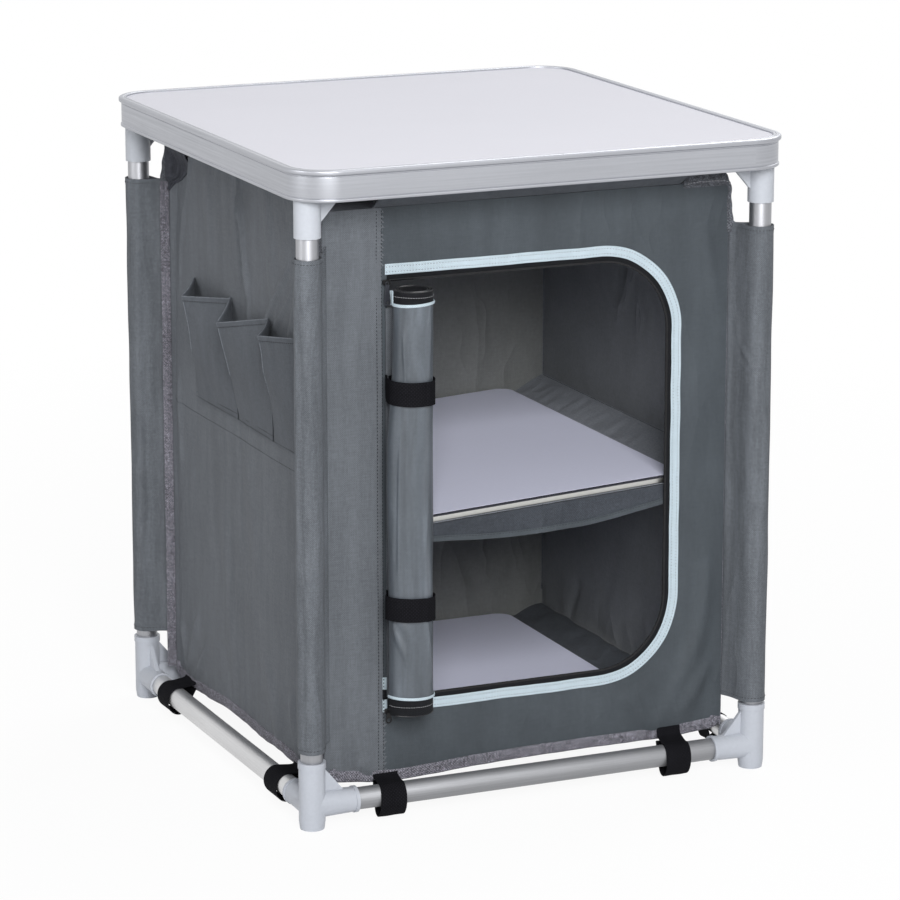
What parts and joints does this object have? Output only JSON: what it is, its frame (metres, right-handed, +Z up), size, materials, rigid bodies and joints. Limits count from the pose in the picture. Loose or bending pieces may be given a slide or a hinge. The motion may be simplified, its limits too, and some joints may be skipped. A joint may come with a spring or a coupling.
{
  "type": "camping kitchen cupboard",
  "caption": "Free-standing camping cupboard: pale worktop in a metal rim on tube legs, over a grey cloth cupboard with shelves, a rolled zip door and side pockets.",
  "frame": {"origin": "on the ground, in the middle of the four feet", "axes": "+Z up; the door side faces -Y; +X to the right of someone facing the door; the side pockets are on -X"},
  "size_m": [0.594, 0.618, 0.74],
  "materials": {
    "worktop_laminate": "matt pale laminate on fibreboard",
    "shelf_laminate": "matt pale laminate on fibreboard",
    "rim_aluminium": "brushed along the length",
    "tube_aluminium": "satin, lightly brushed",
    "socket_plastic": "moulded, satin",
    "corner_plastic": "moulded, satin",
    "screw_steel": "zinc plated",
    "grey_canvas": "close plain weave with a faint sheen",
    "black_webbing": "ribbed webbing",
    "pale_binding": "woven tape with two stitch lines",
    "zip_tape": "woven tape with a coil along its edge",
    "zip_metal": "black enamel, worn at the edges"
  },
  "bodies": {
    "root": {"door_piping": "pale_binding", "door_zip_tape": "zip_tape", "fabric_floor": "grey_canvas", "fabric_roof": "grey_canvas", "front_rail": "tube_aluminium", "front_wall": "grey_canvas", "left_rail": "tube_aluminium", "left_wall": "grey_canvas", "leg_front_left": "tube_aluminium", "leg_front_right": "tube_aluminium", "leg_rear_left": "tube_aluminium", "leg_rear_right": "tube_aluminium", "leg_sleeve_front_left": "grey_canvas", "leg_sleeve_front_right": "grey_canvas", "leg_sleeve_rear_left": "grey_canvas", "leg_sleeve_rear_right": "grey_canvas", "lower_corner_front_left": "corner_plastic", "lower_corner_front_right": "corner_plastic", "lower_corner_rear_left": "corner_plastic", "lower_corner_rear_right": "corner_plastic", "pocket_front": "grey_canvas", "pocket_middle": "grey_canvas", "pocket_rear": "grey_canvas", "rail_strap_front_a": "black_webbing", "rail_strap_front_b": "black_webbing", "rail_strap_left_a": "black_webbing", "rail_strap_left_b": "black_webbing", "rail_strap_rear_a": "black_webbing", "rail_strap_rear_b": "black_webbing", "rail_strap_right_a": "black_webbing", "rail_strap_right_b": "black_webbing", "rear_rail": "tube_aluminium", "rear_wall": "grey_canvas", "right_rail": "tube_aluminium", "right_wall": "grey_canvas", "shelf_sling": "grey_canvas", "shelf_valance": "grey_canvas", "top_flap_front": "grey_canvas", "top_flap_left": "grey_canvas", "top_flap_rear": "grey_canvas", "top_flap_right": "grey_canvas", "zip_sliders": "zip_metal"},
    "worktop": {"worktop_panel": "worktop_laminate", "worktop_rim": "rim_aluminium", "socket_screws": "screw_steel", "upper_socket_front_left": "socket_plastic", "upper_socket_front_right": "socket_plastic", "upper_socket_rear_left": "socket_plastic", "upper_socket_rear_right": "socket_plastic"},
    "middle_shelf": {"middle_shelf_board": "shelf_laminate", "middle_shelf_edging": "rim_aluminium"},
    "lower_shelf": {"lower_shelf_board": "shelf_laminate", "lower_shelf_edging": "rim_aluminium"},
    "door": {"door_roll": "grey_canvas", "roll_strap_lower": "black_webbing", "roll_strap_upper": "black_webbing"},
    "zip_pull_upper": {"zip_pull_upper": "zip_metal"},
    "zip_pull_lower": {"zip_pull_lower": "zip_metal"}
  },
  "joints": [
    {"name": "worktop_lift", "type": "slide", "parent": "root", "child": "worktop", "axis": [0, 0, 1], "range_m": [0, 0.06]},
    {"name": "middle_shelf_lift", "type": "slide", "parent": "root", "child": "middle_shelf", "axis": [0, 0, 1], "range_m": [0, 0.12]},
    {"name": "lower_shelf_lift", "type": "slide", "parent": "root", "child": "lower_shelf", "axis": [0, 0, 1], "range_m": [0, 0.12]},
    {"name": "door_roll_swing", "type": "hinge", "parent": "root", "child": "door", "pos_m": [-0.1725, -0.2442, 0.351], "axis": [0, 0, -1], "range_deg": [0, 60]},
    {"name": "zip_pull_upper_sway", "type": "hinge", "parent": "root", "child": "zip_pull_upper", "pos_m": [-0.171, -0.2468, 0.6007], "axis": [0, 1, 0], "range_deg": [0, 75]},
    {"name": "zip_pull_lower_sway", "type": "hinge", "parent": "root", "child": "zip_pull_lower", "pos_m": [-0.171, -0.2468, 0.1142], "axis": [0, 1, 0], "range_deg": [0, 75]}
  ]
}
